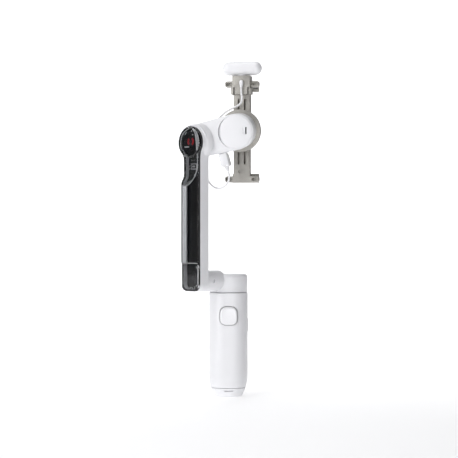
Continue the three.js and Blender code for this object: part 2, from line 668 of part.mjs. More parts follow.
// The route hangs from the gland, passes behind the link and rises from its loop into the plug.
const CABLE_ROUTE = [
  [0.6, 36.1, 5.1], [0.8, 31.5, 5.1], [1.2, 27.5, 5.0], [0.4, 23.8, 4.9], [-2.6, 21.3, 4.6],
  [-7.2, 19.4, 4.0], [-12.4, 16.9, 3.4], [-17.4, 12.9, 3.0], [-21.9, 6.9, 2.8], [-25.9, -1.0, 2.9],
  [-28.9, -10.0, 3.4], [-30.5, -19.0, 4.4], [-30.6, -27.5, 5.9], [-29.4, -35.0, 8.2], [-26.4, -41.6, 11.2],
  [-21.6, -46.4, 14.3], [-16.1, -48.4, 16.6], [-11.2, -46.8, 18.0], [-7.6, -42.4, 18.5], [-6.8, -38.2, 18.5],
  [-7.82, -34.31, 18.5],
];
function trackerCable() {
  const points = CABLE_ROUTE.map((place) => new THREE.Vector3(...place));
  const route = new THREE.CatmullRomCurve3(points, false, 'centripetal');
  const section = new THREE.Shape();
  section.absarc(0, 0, CABLE_RADIUS, 0, Math.PI * 2);
  const options = { steps: 44, extrudePath: route, curveSegments: 4, bevelEnabled: false };
  return solid(new THREE.ExtrudeGeometry(section, options));
}
add(clampFrame, 'tracker_cable', trackerCable(), GLOSS_WHITE);

export default gimbal;
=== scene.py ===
"""Looks of the phone stabilizer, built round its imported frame.

Pieces are drawn in millimetres. Camera, lights and floor are placed in metres.
"""

import json
import math

import bmesh
import bpy
from mathutils import Matrix, Vector
from mathutils.geometry import interpolate_bezier


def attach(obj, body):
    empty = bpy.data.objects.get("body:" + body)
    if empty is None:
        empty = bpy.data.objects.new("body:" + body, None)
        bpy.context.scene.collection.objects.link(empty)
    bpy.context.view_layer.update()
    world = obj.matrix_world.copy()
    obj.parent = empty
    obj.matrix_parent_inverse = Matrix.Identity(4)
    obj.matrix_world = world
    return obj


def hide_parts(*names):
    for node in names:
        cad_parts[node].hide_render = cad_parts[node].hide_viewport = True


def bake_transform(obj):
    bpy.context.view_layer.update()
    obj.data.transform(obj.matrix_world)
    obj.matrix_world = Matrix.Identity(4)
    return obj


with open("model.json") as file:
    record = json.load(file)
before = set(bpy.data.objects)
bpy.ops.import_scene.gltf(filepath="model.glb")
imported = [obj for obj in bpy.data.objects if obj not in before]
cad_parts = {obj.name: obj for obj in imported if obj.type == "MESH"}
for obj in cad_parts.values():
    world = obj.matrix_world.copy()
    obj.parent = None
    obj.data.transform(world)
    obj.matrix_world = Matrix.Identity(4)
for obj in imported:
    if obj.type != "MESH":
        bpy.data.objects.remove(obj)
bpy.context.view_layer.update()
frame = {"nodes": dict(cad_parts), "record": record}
nodes = frame["nodes"]

MM = 0.001
GAP = 0.3
UP = Vector((0, 0, 1))
TRIGGER_Z = 68.5
PANEL_Z = 60
WHEEL_Z = 66
MODE_Z = 44.5
PORT_Z = 34
FOLD_Z = 97.8
CAP_TOP = 113.1
TIP_SCREW_U = 7.4
TIP_SCREW_HEIGHTS = (94.5, 109.5)
EYE_Z = 212.7


# ---------------------------------------------------------------- frames and angles

def upright(origin, facing):
    """A frame whose local Z points along facing, local Y up and local X across."""
    across = UP.cross(facing)
    rotation = Matrix((across, UP, facing)).transposed().to_4x4()
    return Matrix.Translation(origin) @ rotation


ARM_YAW = math.radians(46)
CLAMP_YAW = math.radians(12)
ORIGIN = Vector((0, 0, 0))
BASE = Matrix.Identity(4)
FRONT = upright(ORIGIN, Vector((0, -1, 0)))
REAR = upright(ORIGIN, Vector((0, 1, 0)))
SIDE = upright(ORIGIN, Vector((1, 0, 0)))
ARM = upright(ORIGIN, Vector((-math.cos(ARM_YAW), -math.sin(ARM_YAW), 0)))
CLAMP = upright(Vector((11.3, -8, 223.3)), Vector((-math.sin(CLAMP_YAW), -math.cos(CLAMP_YAW), 0)))
TILT = ARM @ Matrix.Translation((0, 214, 39)) @ Matrix.Rotation(math.radians(9.5), 4, "X")
PLUG = CLAMP @ Matrix.Translation((-12.2, -18.4, 18.5)) @ Matrix.Rotation(math.radians(15.4), 4, "Z")


def quarter(steps):
    """Angles of a quarter turn, from 0 to 90 degrees."""
    return [math.pi / 2 * i / steps for i in range(steps + 1)]


def full(sides):
    """Angles of a whole turn, the last point left out."""
    return [2 * math.pi * i / sides for i in range(sides)]


def turned(degrees, axis):
    return Matrix.Rotation(math.radians(degrees), 4, axis)


# ---------------------------------------------------------------- camera, light and floor

scene = bpy.context.scene
camera = bpy.data.objects.new("camera", bpy.data.cameras.new("camera"))
camera.location = (0.0006, -1.3, 0.1412)
camera.rotation_euler = (math.radians(90), 0, 0)
camera.data.lens = 120.6
camera.data.sensor_width = 36
scene.collection.objects.link(camera)
scene.camera = camera
scene.view_settings.view_transform = "Standard"


def softbox(name, place_at, look_at, size, power):
    light = bpy.data.objects.new(name, bpy.data.lights.new(name, "AREA"))
    light.data.shape = "RECTANGLE"
    light.data.size, light.data.size_y = size
    light.data.energy = power
    light.location = place_at
    light.rotation_euler = (Vector(look_at) - Vector(place_at)).to_track_quat("-Z", "Y").to_euler()
    scene.collection.objects.link(light)


softbox("key", (-0.8, -0.85, 0.25), (0, 0, 0.09), (0.6, 0.9), 5.6)
softbox("fill", (0.3, -1.4, 0.0), (0, 0, 0.06), (0.7, 0.7), 6.8)
softbox("rim", (0.9, 0.25, 0.2), (0, 0, 0.12), (0.15, 0.9), 0.35)
softbox("top", (-0.2, -0.1, 0.95), (0, 0, 0.0), (0.9, 0.9), 3.8)

world = bpy.data.worlds.new("studio")
world.use_nodes = True
sky = world.node_tree
direction = sky.nodes.new("ShaderNodeTexCoord")
split = sky.nodes.new("ShaderNodeSeparateXYZ")
side_light = sky.nodes.new("ShaderNodeValToRGB")
sky.links.new(direction.outputs["Generated"], split.inputs["Vector"])
left_to_right = sky.nodes.new("ShaderNodeMapRange")
left_to_right.inputs["From Min"].default_value = -1
sky.links.new(split.outputs["X"], left_to_right.inputs["Value"])
sky.links.new(left_to_right.outputs["Result"], side_light.inputs["Fac"])
sky.links.new(side_light.outputs["Color"], sky.nodes["Background"].inputs["Strength"])
# from the far left, where a black flag stands, over the lit left side to the dim right side
for x, level in ((-0.93, 0.03), (-0.86, 0.34), (-0.4, 0.34), (0.1, 0.22), (0.5, 0.05)):
    stop = side_light.color_ramp.elements.new((x + 1) / 2)
    stop.color = (level, level, level, 1)
for end, level in ((0, 0.03), (-1, 0.05)):
    side_light.color_ramp.elements[end].color = (level, level, level, 1)
sky.nodes["Background"].inputs["Color"].default_value = (0.94, 0.95, 1.0, 1)
scene.world = world


# ---------------------------------------------------------------- cord

CABLE_RADIUS = 0.85
CABLE_ROUTE = [
    (0.6, 36.1, 5.1), (0.8, 31.5, 5.1), (1.2, 27.5, 5.0), (0.4, 23.8, 4.9), (-2.6, 21.3, 4.6),
    (-7.2, 19.4, 4.0), (-12.4, 16.9, 3.4), (-17.4, 12.9, 3.0), (-21.9, 6.9, 2.8), (-25.9, -1.0, 2.9),
    (-28.9, -10.0, 3.4), (-30.5, -19.0, 4.4), (-30.6, -27.5, 5.9), (-29.4, -35.0, 8.2), (-26.4, -41.6, 11.2),
    (-21.6, -46.4, 14.3), (-16.1, -48.4, 16.6), (-11.2, -46.8, 18.0), (-7.6, -42.4, 18.5),
    (-6.8, -38.2, 18.5), (-7.82, -34.31, 18.5),
]


def spline(points, steps=6):
    """A centripetal Catmull-Rom line through the points."""
    p = [Vector(q) for q in points]
    p = [p[0] * 2 - p[1], *p, p[-1] * 2 - p[-2]]
    line = []
    for i in range(1, len(p) - 2):
        a, b, c, d = p[i - 1:i + 3]
        dt0, dt1, dt2 = ((b - a).length ** 0.5, (c - b).length ** 0.5, (d - c).length ** 0.5)
        t1 = ((b - a) / dt0 - (c - a) / (dt0 + dt1) + (c - b) / dt1) * dt1
        t2 = ((c - b) / dt1 - (d - b) / (dt1 + dt2) + (d - c) / dt2) * dt1
        for s in range(steps):
            u = s / steps
            line.append(b * (2 * u**3 - 3 * u**2 + 1) + t1 * (u**3 - 2 * u**2 + u)
                        + c * (3 * u**2 - 2 * u**3) + t2 * (u**3 - u**2))
    return line + [p[-2]]


# ---------------------------------------------------------------- outlines, listed counter-clockwise

def arc(cx, cy, radius, start, end, steps):
    """Points of an arc, angles in degrees."""
    return [Vector((cx + radius * math.cos(math.radians(start + (end - start) * i / steps)),
                    cy + radius * math.sin(math.radians(start + (end - start) * i / steps))))
            for i in range(steps + 1)]


def rounded_rect(half_x, half_y, radius, cx=0, cy=0, steps=8):
    x, y = half_x - radius, half_y - radius
    corners = [(x, -y, -90), (x, y, 0), (-x, y, 90), (-x, -y, 180)]
    return [p for dx, dy, a in corners for p in arc(cx + dx, cy + dy, radius, a, a + 90, steps)]


def oval(half_x, half_y, power, sides):
    """A superellipse with points spread evenly by angle."""
    points = []
    for a in full(sides):
        c, s = math.cos(a), math.sin(a)
        r = (abs(c / half_x) ** power + abs(s / half_y) ** power) ** (-1 / power)
        points.append(Vector((r * c, r * s)))
    return points


def bezier(a, b, c, d, steps=10):
    points = interpolate_bezier(*[Vector(q).to_3d() for q in (a, b, c, d)], steps + 1)
    return [p.to_2d() for p in points[1:]]


def arm_outline(inset=0, low=89.6, corner=6):
    """The arm seen from outside: a bar with round bottom corners, a waist on one side and a round head."""
    half, waist, radius, bottom = 10.25 - inset, 7.2 - inset, 13.4 - inset, low + inset
    corner -= inset * 0.5
    sx, sy = radius * math.cos(math.radians(25)), EYE_Z - radius * math.sin(math.radians(25))
    points = arc(-half + corner, bottom + corner, corner, 180, 270, 10)
    points += arc(half - corner, bottom + corner, corner, 270, 360, 10)
    points += [Vector((half, 197))]
    points += bezier((half, 197), (half, 200.5), (sx - 1.4, sy - 1.9), (sx, sy))[:-1]
    points += arc(0, EYE_Z, radius, -25, 205, 44)
    points += bezier((-sx, sy), (-sx + 1.9, sy - 2.2), (-waist, 202), (-waist, 199))
    points += [Vector((-waist, 186))]
    points += bezier((-waist, 186), (-waist, 182), (-half, 182), (-half, 178))
    return points


def offset(outline, distance):
    """The outline moved inwards by distance along its corner normals."""
    shifted = []
    count = len(outline)
    for i, p in enumerate(outline):
        a, b = outline[i - 1], outline[(i + 1) % count]
        along = (p - a).normalized() + (b - p).normalized()
        normal = Vector((along.y, -along.x)).normalized()
        shifted.append(p - normal * distance)
    return shifted


# ---------------------------------------------------------------- solids

def skin(rings, closed=False):
    """Rings of 3-D points skinned in order. A ring of one point is a tip; open stacks get flat ends."""
    bm = bmesh.new()
    made = [[bm.verts.new(p) for p in points] for points in rings]
    pairs = list(zip(made, made[1:])) + ([(made[-1], made[0])] if closed else [])
    for a, b in pairs:
        count = max(len(a), len(b))
        for i in range(count):
            j = (i + 1) % count
            corners = [a[i % len(a)], a[j % len(a)], b[j % len(b)], b[i % len(b)]]
            distinct = list(dict.fromkeys(corners))
            if len(distinct) > 2:
                bm.faces.new(distinct)
    if not closed:
        for end in (made[0], made[-1]):
            if len(end) > 2:
                bm.faces.new(end)
    bmesh.ops.recalc_face_normals(bm, faces=bm.faces)
    return bm


def stack(outline, profile):
    """An outline skinned through [inset, height] pairs."""
    return skin([[Vector((p.x, p.y, z)) for p in offset(outline, inset)] for inset, z in profile])


def prism(outline, low, high, round_low=0.0, round_high=0.0, steps=4):
    """An outline pulled from low to high, its end edges rounded."""
    profile = []
    for radius, z, sign in ((round_low, low, 1), (round_high, high, -1)):
        part = [(0, z)] if radius <= 0 else [
            (radius * (1 - math.sin(t)), z + sign * radius * (1 - math.cos(t))) for t in quarter(steps)]
        profile += part if sign == 1 else part[::-1]
    return stack(outline, profile)


def fillet(points, radius, steps=4):
    """A polyline of 2-D points whose inner corners are rounded."""
    out = [Vector(points[0])]
    for a, b, c in zip(points, points[1:], points[2:]):
        a, b, c = Vector(a), Vector(b), Vector(c)
        reach = min(radius, (b - a).length * 0.45, (c - b).length * 0.45)
        start, end = b + (a - b).normalized() * reach, b + (c - b).normalized() * reach
        out += [start.lerp(b, t).lerp(b.lerp(end, t), t) for t in (i / steps for i in range(steps + 1))]
    return out + [Vector(points[-1])]


def lathe(profile, sides=96, closed=False):
    """A solid of revolution about local Z, from (radius, z) pairs."""
    rings = []
    for r, z in profile:
        if r < 1e-6:
            rings.append([Vector((0, 0, z))])
        else:
            rings.append([Vector((r * math.cos(a), r * math.sin(a), z)) for a in full(sides)])
    return skin(rings, closed)


def disc(radius, low, high, soft=0.0, sides=96):
    return lathe(fillet([(0, low), (radius, low), (radius, high), (0, high)], soft) if soft
                 else [(0, low), (radius, low), (radius, high), (0, high)], sides)


def ring(outer, inner, low, high, sides=96):
    return lathe([(inner, low), (outer, low), (outer, high), (inner, high)], sides, closed=True)


def block(low, high, soft=0.0, segments=3):
    bm = bmesh.new()
    size = [h - l for l, h in zip(low, high)]
    middle = [(h + l) / 2 for l, h in zip(low, high)]
    bmesh.ops.create_cube(bm, size=1, matrix=Matrix.Translation(middle) @ Matrix.Diagonal((*size, 1)))
    if soft:
        bevel(bm, soft, segments)
    return bm


def tube(path, radius, sides=16):
    """A round bar along a line of 3-D points."""
    path = [Vector(p) for p in path]
    side = None
    rings = []
    for i, p in enumerate(path):
        along = (path[min(i + 1, len(path) - 1)] - path[max(i - 1, 0)]).normalized()
        if side is None:
            side = along.orthogonal().normalized()
        side = (side - along * side.dot(along)).normalized()
        other = along.cross(side)
        rings.append([p + side * radius * math.cos(a) + other * radius * math.sin(a) for a in full(sides)])
    return skin(rings)


def moved(bm, *place_at, turn=None):
    if turn is not None:
        bmesh.ops.transform(bm, matrix=turn, verts=bm.verts)
    bmesh.ops.translate(bm, vec=place_at, verts=bm.verts)
    return bm


def carried(bm, source, target):
    """A solid given in one frame, in another's coordinates."""
    bmesh.ops.transform(bm, matrix=target.inverted() @ source, verts=bm.verts)
    return bm


def bevel(bm, width, segments=3, angle=32):
    edges = [e for e in bm.edges if len(e.link_faces) == 2 and e.calc_face_angle(0) > math.radians(angle)]
    bmesh.ops.bevel(bm, geom=edges, offset=width, segments=segments, profile=0.5,
                    affect="EDGES", clamp_overlap=True)
    return bm


def as_object(bm, name="scratch"):
    mesh = bpy.data.meshes.new(name)
    bm.to_mesh(mesh)
    bm.free()
    obj = bpy.data.objects.new(name, mesh)
    scene.collection.objects.link(obj)
    return obj


def combine(operation, base, *tools):
    """Exact boolean of solids: UNION, DIFFERENCE or INTERSECT."""
    target = as_object(base)
    helpers = [as_object(t) for t in tools]
    for helper in helpers:
        modifier = target.modifiers.new("join", "BOOLEAN")
        modifier.operation, modifier.solver, modifier.object = operation, "EXACT", helper
    return drained(target, helpers)


def drained(target, helpers=()):
    """The evaluated mesh of a scratch object, which is then removed."""
    depsgraph = bpy.context.evaluated_depsgraph_get()
    evaluated = target.evaluated_get(depsgraph)
    bm = bmesh.new()
    bm.from_mesh(evaluated.to_mesh())
    for obj in (target, *helpers):
        mesh = obj.data
        bpy.data.objects.remove(obj)
        bpy.data.meshes.remove(mesh)
    bmesh.ops.remove_doubles(bm, verts=bm.verts, dist=1e-3)
    bmesh.ops.dissolve_degenerate(bm, edges=bm.edges, dist=1e-4)
    return bm


def union(base, *tools):
    return combine("UNION", base, *tools)


def cut(base, *tools):
    return combine("DIFFERENCE", base, *tools)


def weld(*solids):
    """Several closed solids kept as one mesh."""
    joined = bmesh.new()
    for bm in solids:
        scratch = bpy.data.meshes.new("scratch")
        bm.to_mesh(scratch)
        bm.free()
        joined.from_mesh(scratch)
        bpy.data.meshes.remove(scratch)
    return joined


def node_copy(name):
    """A CAD node's solid in millimetres, with coplanar facets joined."""
    bm = bmesh.new()
    bm.from_mesh(nodes[name].data)
    bmesh.ops.scale(bm, vec=(1 / MM,) * 3, verts=bm.verts)
    bmesh.ops.remove_doubles(bm, verts=bm.verts, dist=1e-3)
    bmesh.ops.dissolve_limit(bm, angle_limit=math.radians(0.5), verts=bm.verts, edges=bm.edges)
    return bm


def piece(name, bm, where, body, material, replaces=(), sharp=35):
    """A finished piece: placed in the row frame, smooth except at sharp edges, riding on its body."""
    bmesh.ops.transform(bm, matrix=Matrix.Scale(MM, 4) @ where, verts=bm.verts)
    bmesh.ops.recalc_face_normals(bm, faces=bm.faces)
    for edge in bm.edges:
        edge.smooth = len(edge.link_faces) == 2 and edge.calc_face_angle(0) < math.radians(sharp)
    for face in bm.faces:
        face.smooth = True
    obj = as_object(bm, name)
    obj.data.materials.append(MATERIALS[material])
    if body:
        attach(obj, body)
    if replaces:
        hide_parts(*([replaces] if isinstance(replaces, str) else replaces))
    return obj


# ---------------------------------------------------------------- materials

class Shader:
    """A Principled material whose colour, roughness and bump come from noise in object space."""

    def __init__(self, name, **values):
        self.material = bpy.data.materials.new(name)
        self.material.use_nodes = True
        self.tree = self.material.node_tree
        self.shader = self.tree.nodes["Principled BSDF"]
        for key, value in values.items():
            socket = self.shader.inputs[key.replace("_", " ")]
            socket.default_value = (*value, 1) if isinstance(value, tuple) else value
        self.coordinates = self.node("ShaderNodeTexCoord").outputs["Object"]

    def node(self, kind, **settings):
        node = self.tree.nodes.new(kind)
        for key, value in settings.items():
            if hasattr(node, key) and key not in node.inputs:
                setattr(node, key, value)
            else:
                node.inputs[key].default_value = value
        return node

    def link(self, source, target):
        self.tree.links.new(source, target)

    def stretched(self, scale):
        mapping = self.node("ShaderNodeMapping")
        mapping.inputs["Scale"].default_value = scale
        self.link(self.coordinates, mapping.inputs["Vector"])
        return mapping.outputs["Vector"]

    def noise(self, scale, detail=4.0, rough=0.55, stretch=None):
        noise = self.node("ShaderNodeTexNoise", Scale=scale, Detail=detail, Roughness=rough)
        self.link(self.stretched(stretch) if stretch else self.coordinates, noise.inputs["Vector"])
        return noise.outputs["Fac"]

    def ramp(self, source, stops):
        ramp = self.node("ShaderNodeValToRGB")
        elements = ramp.color_ramp.elements
        while len(elements) < len(stops):
            elements.new(0.5)
        for element, (position, colour) in zip(elements, stops):
            element.position = position
            element.color = (*colour, 1) if isinstance(colour, tuple) else (colour, colour, colour, 1)
        self.link(source, ramp.inputs["Fac"])
        return ramp.outputs["Color"]

    def mix(self, factor, a, b, blend="MIX"):
        mix = self.node("ShaderNodeMix", data_type="RGBA", blend_type=blend)
        for value, key in ((factor, "Factor"), (a, "A"), (b, "B")):
            socket = next(s for s in mix.inputs if s.name == key and (s.type == "VALUE" if key == "Factor"
                                                                     else s.type == "RGBA"))
            if isinstance(value, bpy.types.NodeSocket):
                self.link(value, socket)
            else:
                socket.default_value = (*value, 1) if isinstance(value, tuple) else value
        return next(s for s in mix.outputs if s.type == "RGBA")

    def range(self, source, low, high):
        node = self.node("ShaderNodeMapRange")
        node.inputs["To Min"].default_value, node.inputs["To Max"].default_value = low, high
        self.link(source, node.inputs["Value"])
        return node.outputs["Result"]

    def colour(self, source):
        self.link(source, self.shader.inputs["Base Color"])
        return self

    def roughness(self, source, low, high):
        self.link(self.range(source, low, high), self.shader.inputs["Roughness"])
        return self

    def bump(self, source, distance, strength=1.0):
        """Bumps add up: each new one goes over those before it."""
        node = self.node("ShaderNodeBump", Strength=strength, Distance=distance)
        self.link(source, node.inputs["Height"])
        normal = self.shader.inputs["Normal"]
        if normal.links:
            self.link(normal.links[0].from_socket, node.inputs["Normal"])
        self.link(node.outputs["Normal"], normal)
        return self


def plastic(name, colour, rough, grain, bump, drift=0.03, **values):
    """Moulded plastic: a faint cloudy colour drift, spark-eroded grain and fine marks in the gloss."""
    m = Shader(name, **values)
    low = tuple(c * (1 - drift) for c in colour)
    high = tuple(min(1, c * (1 + drift)) for c in colour)
    m.colour(m.ramp(m.noise(55, 3), [(0.35, low), (0.65, high)]))
    m.roughness(m.noise(420, 5, 0.7), rough - 0.05, rough + 0.06)
    m.bump(m.noise(grain, 3, 0.6), bump)
    m.bump(m.noise(38, 2), 0.00006, 0.4)
    return m.material


def metal(name, colour, rough, stretch, bump=0.00001, drift=0.08, **values):
    """Metal with fine lines across one direction."""
    m = Shader(name, Metallic=1.0, **values)
    low = tuple(c * (1 - drift) for c in colour)
    lines = m.noise(900, 5, 0.6, stretch)
    m.colour(m.ramp(lines, [(0.3, low), (0.7, colour)]))
    m.roughness(lines, rough - 0.06, rough + 0.1)
    m.bump(lines, bump, 0.5)
    return m.material


def painted(name, colour, rough):
    """Satin metallic paint: tiny flakes over an even coat, with orange peel."""
    m = Shader(name, Metallic=0.55)
    flakes = m.node("ShaderNodeTexVoronoi", Scale=5200.0)
    m.link(m.coordinates, flakes.inputs["Vector"])
    dark, bright = (tuple(c * share for c in colour) for share in (0.86, 1.12))
    sparkle = m.ramp(flakes.outputs["Color"], [(0.2, dark), (0.8, bright)])
    cloudy = m.ramp(m.noise(70, 3), [(0.3, 0.95), (0.7, 1.0)])
    m.colour(m.mix(1.0, sparkle, cloudy, "MULTIPLY"))
    m.roughness(m.noise(600, 4), rough - 0.06, rough + 0.08)
    m.bump(m.noise(1500, 3), 0.000012, 0.6)
    return m.material


def clear(name, tint, rough):
    """Clear moulded cover with faint swirl marks."""
    m = Shader(name, Transmission_Weight=1.0, IOR=1.46)
    m.colour(m.ramp(m.noise(40, 2), [(0.3, tint), (0.7, tuple(min(1, c * 1.03) for c in tint))]))
    m.roughness(m.noise(500, 5, 0.7), rough, rough + 0.05)
    m.bump(m.noise(30, 2), 0.00003, 0.3)
    return m.material


def circuit(name):
    """Black solder mask with a faint grid of traces and small pale vias."""
    m = Shader(name, Specular_IOR_Level=0.25)
    cells = m.node("ShaderNodeTexBrick", Scale=900.0, offset=0.5)
    m.link(m.coordinates, cells.inputs["Vector"])
    cells.inputs["Color1"].default_value = (0.012, 0.014, 0.013, 1)
    cells.inputs["Color2"].default_value = (0.02, 0.024, 0.022, 1)
    cells.inputs["Mortar"].default_value = (0.035, 0.036, 0.034, 1)
    cells.inputs["Mortar Size"].default_value = 0.06
    vias = m.node("ShaderNodeTexVoronoi", Scale=620.0)
    m.link(m.coordinates, vias.inputs["Vector"])
    dots = m.ramp(vias.outputs["Distance"], [(0.03, 1.0), (0.06, 0.0)])
    m.colour(m.mix(dots, cells.outputs["Color"], (0.35, 0.3, 0.2)))
    m.roughness(m.noise(700, 4), 0.4, 0.55)
    m.bump(cells.outputs["Fac"], 0.00002, 0.5)
    return m.material


def winding(name, colour, scale):
    """Enamelled wire laid side by side."""
    m = Shader(name, Coat_Weight=0.5)
    wave = m.node("ShaderNodeTexWave", Scale=scale, wave_type="BANDS", bands_direction="Z")
    wave.inputs["Distortion"].default_value = 1.5
    wave.inputs["Detail"].default_value = 2
    m.link(m.coordinates, wave.inputs["Vector"])
    m.colour(m.ramp(wave.outputs["Fac"], [(0.1, tuple(c * 0.3 for c in colour)), (0.8, colour)]))
    m.roughness(m.noise(800, 4), 0.2, 0.4)
    m.bump(wave.outputs["Fac"], 0.00008)
    return m.material


MATERIALS = {
    "white": plastic("white_satin", (0.83, 0.83, 0.85), 0.38, 2600, 0.000012, 0.012,
                     Coat_Weight=0.15, Coat_Roughness=0.25),
    "gloss": plastic("white_gloss", (0.86, 0.86, 0.88), 0.2, 3200, 0.000004, 0.01,
                     Coat_Weight=0.3, Coat_Roughness=0.1),
    "cable": plastic("cable_jacket", (0.86, 0.86, 0.87), 0.42, 1500, 0.00002, 0.02),
    "black": plastic("black_satin", (0.012, 0.012, 0.014), 0.34, 2200, 0.00001, 0.25),
    "liner": plastic("black_polished", (0.006, 0.006, 0.007), 0.3, 2600, 0.000004, 0.2,
                     Specular_IOR_Level=0.3),
    "ledge": plastic("ledge_grey", (0.8, 0.8, 0.81), 0.35, 1800, 0.00001, 0.04),
    "grey": plastic("grey_satin", (0.42, 0.42, 0.43), 0.3, 1800, 0.00001, 0.06),
    "rubber": plastic("jaw_rubber", (0.035, 0.035, 0.038), 0.75, 1400, 0.00005, 0.2),
    "red": plastic("button_red", (0.5, 0.012, 0.02), 0.28, 2400, 0.000008, 0.06, Coat_Weight=0.3),
    "wrap": plastic("battery_wrap", (0.12, 0.2, 0.34), 0.4, 900, 0.00004, 0.1),
    "black_glass": plastic("tracker_lens", (0.006, 0.006, 0.008), 0.07, 3000, 0.000002, 0.2,
                           Coat_Weight=0.6, Coat_Roughness=0.02),
    "taupe": painted("taupe_paint", (0.40, 0.385, 0.355), 0.42),
    "steel": metal("brushed_steel", (0.58, 0.59, 0.6), 0.26, (1, 1, 0.03)),
    "magnet": metal("nickel_magnet", (0.4, 0.41, 0.43), 0.3, (0.2, 0.2, 1)),
    "mirror": metal("mirror_glass", (0.9, 0.9, 0.9), 0.07, (1, 1, 1), 0.000001, 0.01),
    "clear": clear("clear_cover", (0.9, 0.91, 0.92), 0.012),
    "board": circuit("circuit_board"),
    # bright trim; also the colour of the painted highlights, reflection and glints on the window's rim and in
    # the end cap
    "rim": plastic("bright_trim_and_highlight", (0.75, 0.75, 0.76), 0.2, 2400, 0.000004, 0.04, Coat_Weight=0.5),
    "coil": winding("red_winding", (0.8, 0.02, 0.04), 1100),
    "copper": winding("copper_winding", (0.6, 0.24, 0.1), 900),
}
SLOT_LOOK = {
    "white_plastic": "white", "gloss_white": "gloss", "black_plastic": "black", "rubber": "rubber",
    "taupe_metal": "taupe", "steel": "steel", "copper": "copper", "magnet": "magnet", "board": "board",
    "clear_plastic": "clear", "red_part": "red", "battery_wrap": "wrap", "black_glass": "black_glass",
    "mirror_glass": "mirror", "cable_jacket": "cable",
}


# ---------------------------------------------------------------- cable and plug

route = [CLAMP @ p for p in spline(CABLE_ROUTE)]
cable = piece("tracker_lead", tube(route, CABLE_RADIUS, 20), BASE, None, "cable",
              "tracker_cable")
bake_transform(cable)

plug_shell = prism(rounded_rect(3.6, 5.5, 1.2, 0, -6.6), -5.2, 5.2, 1.0, 1.0)
plug = piece("usb_plug_shell", plug_shell, PLUG, "link", "gloss", "usb_plug")
relief_profile = fillet([(0, 12.4), (1.8, 12.4), (1.8, 13.6), (1.45, 14.1), (1.5, 14.7), (1.25, 15.2),
                         (1.2, 16.2), (0, 16.2)], 0.15)
relief_bm = moved(lathe(relief_profile, 40), 0, 0, 0, turn=turned(90, "X"))
relief = piece("plug_sleeve", relief_bm, PLUG, "link", "gloss", "plug_relief")
gland_profile = fillet([(0, -42.8), (1.1, -42.6), (1.75, -41.4), (1.75, -40.2), (1.3, -38.2), (1.0, -36.4),
                        (0, -36.4)], 0.5)
gland_bm = moved(lathe(gland_profile, 40), 0.6, 0, 5.1, turn=turned(90, "X"))
gland = piece("lead_gland", gland_bm, CLAMP, "clamp", "gloss", "tracker_gland")


# ---------------------------------------------------------------- handle

GRIP_POWER = 2.5


def grip_ring(z, inset=0.0, sides=128):
    drawn = 5 * (max(0, 22 - z) / 22) ** 2.4 + inset
    return [Vector((p.x, p.y, z)) for p in oval(16.5 - drawn, 18 - drawn, GRIP_POWER, sides=sides)]


def grip(low, high, soft_low, soft_high, inset=0.0):
    rings = [grip_ring(low, inset)]
    if soft_low:
        rings = [grip_ring(low + soft_low * (1 - math.cos(t)), inset + soft_low * (1 - math.sin(t)))
                 for t in quarter(5)]
    z = low + soft_low + 1.5
    while z < min(24, high - soft_high - 1):
        rings.append(grip_ring(z, inset))
        z += 1.5
    if not soft_high:
        return skin(rings + [grip_ring(high, inset)])
    rings += [grip_ring(high - soft_high * (1 - math.cos(t)), inset + soft_high * (1 - math.sin(t)))
              for t in reversed(quarter(5))]
    return skin(rings)


def trigger_outline(inset):
    """A fingertip pad, a little wider in its lower half."""
    points = []
    for p in oval(7.3 - inset, 7.7 - inset, 2.9, sides=72):
        flatten = 1.0 + 0.05 * max(0, -p.y / 7.7)
        points.append(Vector((0.3 + p.x * flatten if p.y < 0 else 0.3 + p.x, TRIGGER_Z + p.y)))
    return points


def panel_outline(grow):
    return rounded_rect(10.2 + grow, 24 + grow, 6 + grow, 0, PANEL_Z, 12)


def panel_solid(grow):
    return carried(prism(panel_outline(grow), 14.9 - grow, 20), REAR, BASE)


shell = cut(
    grip(7.9, 87.6, 0.35, 0.8),
    grip(6, 85.6, 0, 0, 1.8),
    disc(6.5, 83, 90),
    carried(prism(trigger_outline(-0.5), 12, 20), FRONT, BASE),
    panel_solid(GAP),
    carried(prism(rounded_rect(2.2, 6, 2.1, 3, PANEL_Z), 12, 20), SIDE, BASE),
    carried(prism(rounded_rect(2.0, 4.9, 1.9, 2, PORT_Z), 12, 20), SIDE, BASE),
)
piece("grip_shell", shell, BASE, "handle", "white", "handle_shell")

trigger_profile = [(-0.85, 12.85), (-0.85, 13.5), (0.05, 13.6), (0.0, 18.6), (0.12, 19.05), (0.45, 19.42),
                   (0.95, 19.66), (1.8, 19.78), (3.2, 19.84), (5.0, 19.88), (6.6, 19.9)]
trigger_bm = skin([[Vector((p.x, p.y, z)) for p in trigger_outline(inset)] for inset, z in trigger_profile])
piece("trigger_pad", trigger_bm, FRONT, "trigger", "gloss", "trigger")


def trimmed_to_grip(tool):
    """The part of a solid that lies inside the grip's outer surface."""
    return combine("INTERSECT", grip(9, 87, 0, 0), tool)


panel = cut(
    trimmed_to_grip(panel_solid(0)),
    carried(moved(disc(9.9, 16, 22), 0, WHEEL_Z, 0), REAR, BASE),
    carried(moved(disc(3.4, 15.7, 22, sides=64), 0, MODE_Z, 0), REAR, BASE),
)
piece("rear_panel", panel, BASE, "handle", "gloss", "control_panel")

# wheel: a knurled ring round the record button
WHEEL_PROFILE = [(5.7, 16.3), (9.3, 16.3), (9.5, 16.6), (9.5, 17.5), (9.2, 18.15), (8.6, 18.45), (7.6, 18.5),
                 (6.6, 18.3), (5.85, 17.9), (5.7, 17.6)]
WHEEL_SIDES = 216
KNURL_DEPTH = 0.16


